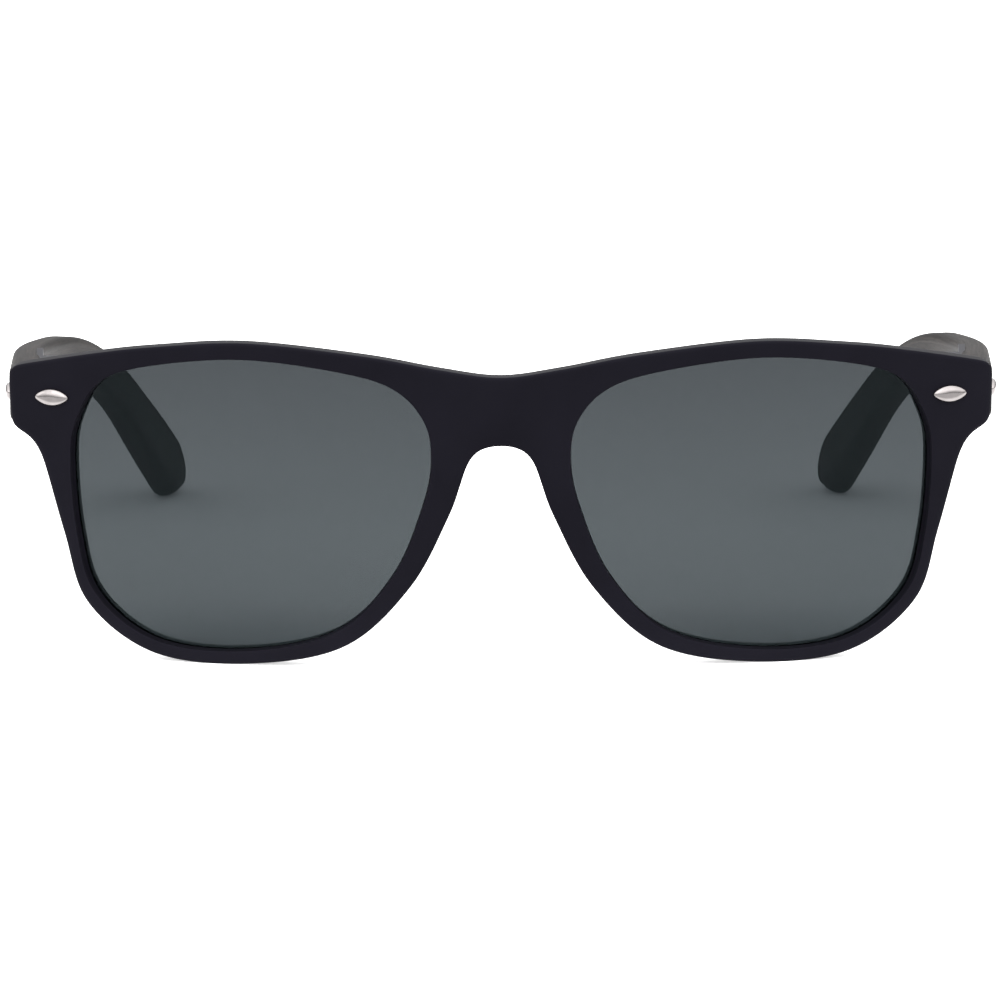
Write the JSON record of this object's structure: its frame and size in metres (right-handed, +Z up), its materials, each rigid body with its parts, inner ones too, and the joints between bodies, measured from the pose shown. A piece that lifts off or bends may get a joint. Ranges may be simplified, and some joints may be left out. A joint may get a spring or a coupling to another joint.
{
  "type": "sunglasses",
  "caption": "Sunglasses with a moulded black front, smoke-tinted lenses, polished pointed-oval studs and bowed wooden temples that fold on spring hinges.",
  "frame": {"origin": "on the surface that the open sunglasses stand on, under the middle of their box", "axes": "+X to the wearer's left (right in the picture), +Y from the front back along the temples, +Z up"},
  "size_m": [0.1524, 0.1362, 0.0483],
  "materials": {
    "black_plastic": "soft-touch matte black with a fine grain",
    "smoke_lens": "polished smoke-grey tint, see-through",
    "dark_wood": "dark stained wood with a fine long grain, satin oiled",
    "polished_metal": "polished nickel",
    "hinge_steel": "dark satin steel"
  },
  "bodies": {
    "front": {"front_frame": "black_plastic", "lens_left": "smoke_lens", "lens_right": "smoke_lens", "front_stud_left": "polished_metal", "front_stud_right": "polished_metal", "front_hinge_left": "hinge_steel", "front_hinge_right": "hinge_steel", "hinge_screw_left": "hinge_steel", "hinge_screw_right": "hinge_steel"},
    "left_slider": {"hinge_slider_left": "hinge_steel", "hinge_spring_left": "hinge_steel", "slider_collar_left": "hinge_steel"},
    "right_slider": {"hinge_slider_right": "hinge_steel", "hinge_spring_right": "hinge_steel", "slider_collar_right": "hinge_steel"},
    "left_arm": {"temple_left": "dark_wood", "hinge_housing_left": "hinge_steel", "housing_screws_left": "hinge_steel", "temple_stud_left": "polished_metal"},
    "right_arm": {"temple_right": "dark_wood", "hinge_housing_right": "hinge_steel", "housing_screws_right": "hinge_steel", "temple_stud_right": "polished_metal"}
  },
  "joints": [
    {"name": "left_fold", "type": "hinge", "parent": "front", "child": "left_slider", "pos_m": [-0.06733, -0.04888, 0.03916], "axis": [0, 0, -1], "range_deg": [0, 85]},
    {"name": "left_spring", "type": "slide", "parent": "left_slider", "child": "left_arm", "axis": [-0.0802, 0.9968, 0], "range_m": [0, 0.0012], "stiffness_N_per_m": 900, "springref_m": -0.002, "deforming": ["hinge_spring_left"]},
    {"name": "right_fold", "type": "hinge", "parent": "front", "child": "right_slider", "pos_m": [0.06733, -0.04888, 0.03916], "axis": [0, 0, 1], "range_deg": [0, 78]},
    {"name": "right_spring", "type": "slide", "parent": "right_slider", "child": "right_arm", "axis": [0.0802, 0.9968, 0], "range_m": [0, 0.0012], "stiffness_N_per_m": 900, "springref_m": -0.002, "deforming": ["hinge_spring_right"]}
  ]
}
